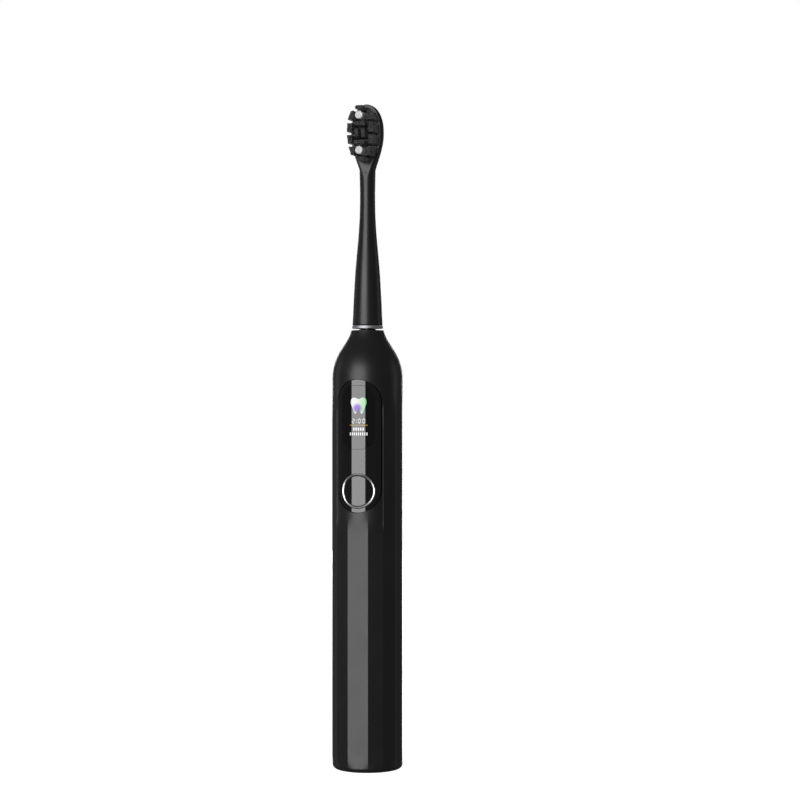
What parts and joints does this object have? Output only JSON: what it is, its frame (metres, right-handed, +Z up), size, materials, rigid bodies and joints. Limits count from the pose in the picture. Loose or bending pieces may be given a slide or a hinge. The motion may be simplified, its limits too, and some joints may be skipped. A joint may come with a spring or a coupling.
{
  "type": "electric toothbrush",
  "caption": "Upright electric toothbrush with a faceted handle, a glossy front panel with display window and push button, and a pull-off brush head on an oscillating drive shaft.",
  "frame": {"origin": "centre of the base on the surface it stands on", "axes": "+Z up along the handle and drive shaft; the panel, button and bristles face -Y; +X to the right seen from the front"},
  "size_m": [0.0266, 0.0267, 0.25],
  "materials": {
    "shell_black": "satin moulded black",
    "panel_black": "high gloss black",
    "lens_black": "high gloss smoked window",
    "display": "dark display glass",
    "polished_steel": "polished",
    "shaft_steel": "turned steel",
    "spring_steel": "spring steel",
    "bronze": "sintered bronze",
    "nickel": "nickel strip",
    "copper": "enamelled copper wire",
    "ferrite": "sintered ferrite",
    "magnet": "nickel-plated magnet",
    "board_green": "glass-epoxy board",
    "switch_grey": "moulded grey",
    "chassis_white": "moulded white",
    "cell_wrap": "heat-shrink sleeve over a steel cell",
    "foam": "closed-cell foam",
    "rubber_black": "soft black",
    "head_black": "satin moulded black",
    "head_insert": "moulded acetal",
    "bristle_black": "nylon filament ends",
    "bristle_white": "nylon filament ends"
  },
  "bodies": {
    "handle": {"handle_shell": "shell_black", "front_panel": "panel_black", "display_lens": "lens_black", "panel_gasket": "foam", "button_ring": "polished_steel", "button_membrane": "rubber_black", "display_module": "display", "main_board": "board_green", "tact_switch": "switch_grey", "chassis": "chassis_white", "battery_cell": "cell_wrap", "battery_pad": "foam", "battery_tab_bottom": "nickel", "battery_tab_top": "nickel", "motor_can": "shaft_steel", "motor_end_cap": "switch_grey", "stator_core": "spring_steel", "stator_coil": "copper", "return_spring": "spring_steel", "bearing_holder": "switch_grey", "top_bearing": "bronze", "shaft_seal": "rubber_black", "base_cap": "shell_black", "base_seal": "rubber_black", "charging_coil": "copper", "ferrite_sleeve": "ferrite"},
    "drive": {"drive_shaft": "shaft_steel", "rotor_hub": "spring_steel", "rotor_magnet_left": "magnet", "rotor_magnet_right": "magnet"},
    "button": {"button_cap": "panel_black", "switch_plunger": "switch_grey"},
    "brush_head": {"brush_head": "head_black", "shaft_sleeve": "head_insert", "retaining_clip": "spring_steel", "id_ring": "polished_steel", "tuft_white_lower": "bristle_white", "tuft_white_upper": "bristle_white", "tuft_bar_lower": "bristle_black", "tuft_bar_upper": "bristle_black", "tuft_bar_left": "bristle_black", "tuft_bar_right": "bristle_black", "tuft_tip": "bristle_black", "tuft_heel": "bristle_black", "tuft_left_1": "bristle_black", "tuft_left_2": "bristle_black", "tuft_left_3": "bristle_black", "tuft_left_4": "bristle_black", "tuft_right_1": "bristle_black", "tuft_right_2": "bristle_black", "tuft_right_3": "bristle_black", "tuft_right_4": "bristle_black"}
  },
  "joints": [
    {"name": "drive_oscillation", "type": "hinge", "parent": "handle", "child": "drive", "pos_m": [0, 0, 0.086], "axis": [0, 0, 1], "range_deg": [-6, 6], "stiffness_Nm_per_rad": 0.05},
    {"name": "head_release", "type": "slide", "parent": "drive", "child": "brush_head", "axis": [0, 0, 1], "range_m": [0, 0.024]},
    {"name": "button_press", "type": "slide", "parent": "handle", "child": "button", "axis": [0, 1, 0], "range_m": [0, 0.00035], "stiffness_N_per_m": 2500}
  ]
}
